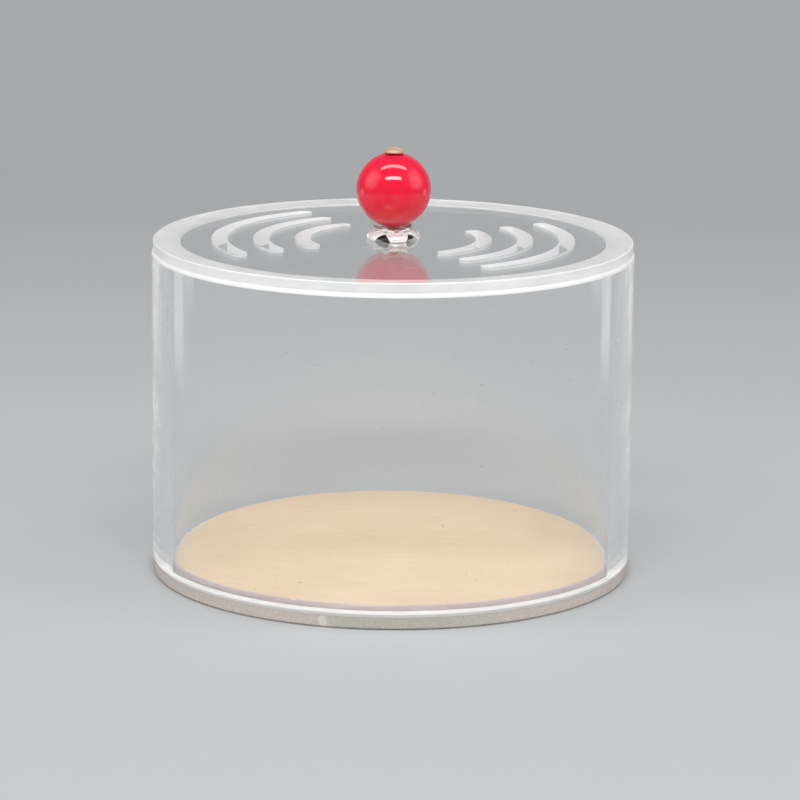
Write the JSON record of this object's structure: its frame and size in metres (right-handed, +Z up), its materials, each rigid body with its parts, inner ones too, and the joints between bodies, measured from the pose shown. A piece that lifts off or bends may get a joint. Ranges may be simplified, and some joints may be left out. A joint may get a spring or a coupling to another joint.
{
  "type": "cricket keeper box",
  "caption": "Clear round insect jar with a loose floor disc and a lift-off lid, milled with curved air slots and lifted by a bead knob.",
  "frame": {"origin": "centre of the base plate's underside, on the surface it stands on", "axes": "+Z up along the jar's axis, +X through the middle of one group of air slots"},
  "size_m": [0.1, 0.1, 0.0891],
  "materials": {
    "clear_tube": "clear extruded acrylic, sawn ends frosted",
    "clear_plate": "clear acrylic sheet, cut edge satin",
    "cement": "set solvent cement, milky and glossy",
    "floor_board": "pale smooth board, matt",
    "clear_lid": "clear acrylic sheet, milled faces frosted",
    "cap_silver": "bright silver plate",
    "red_bead": "polished, slightly translucent red",
    "screw_brass": "polished brass",
    "steel": "plated steel"
  },
  "bodies": {
    "jar": {"jar_wall": "clear_tube", "base_plate": "clear_plate", "base_seam": "cement"},
    "floor": {"floor_pad": "floor_board"},
    "lid": {"lid": "clear_lid", "bead_cap": "cap_silver", "knob_screw": "screw_brass", "knob_washer": "steel", "knob_nut": "steel"},
    "bead": {"knob_bead": "red_bead"}
  },
  "joints": [
    {"name": "lid_lift", "type": "slide", "parent": "jar", "child": "lid", "axis": [0, 0, 1], "range_m": [0, 0.05]},
    {"name": "floor_lift", "type": "slide", "parent": "jar", "child": "floor", "axis": [0, 0, 1], "range_m": [0, 0.055]},
    {"name": "bead_turn", "type": "hinge", "parent": "lid", "child": "bead", "pos_m": [0, 0, 0.08035], "axis": [0, 0, 1], "continuous": true}
  ]
}
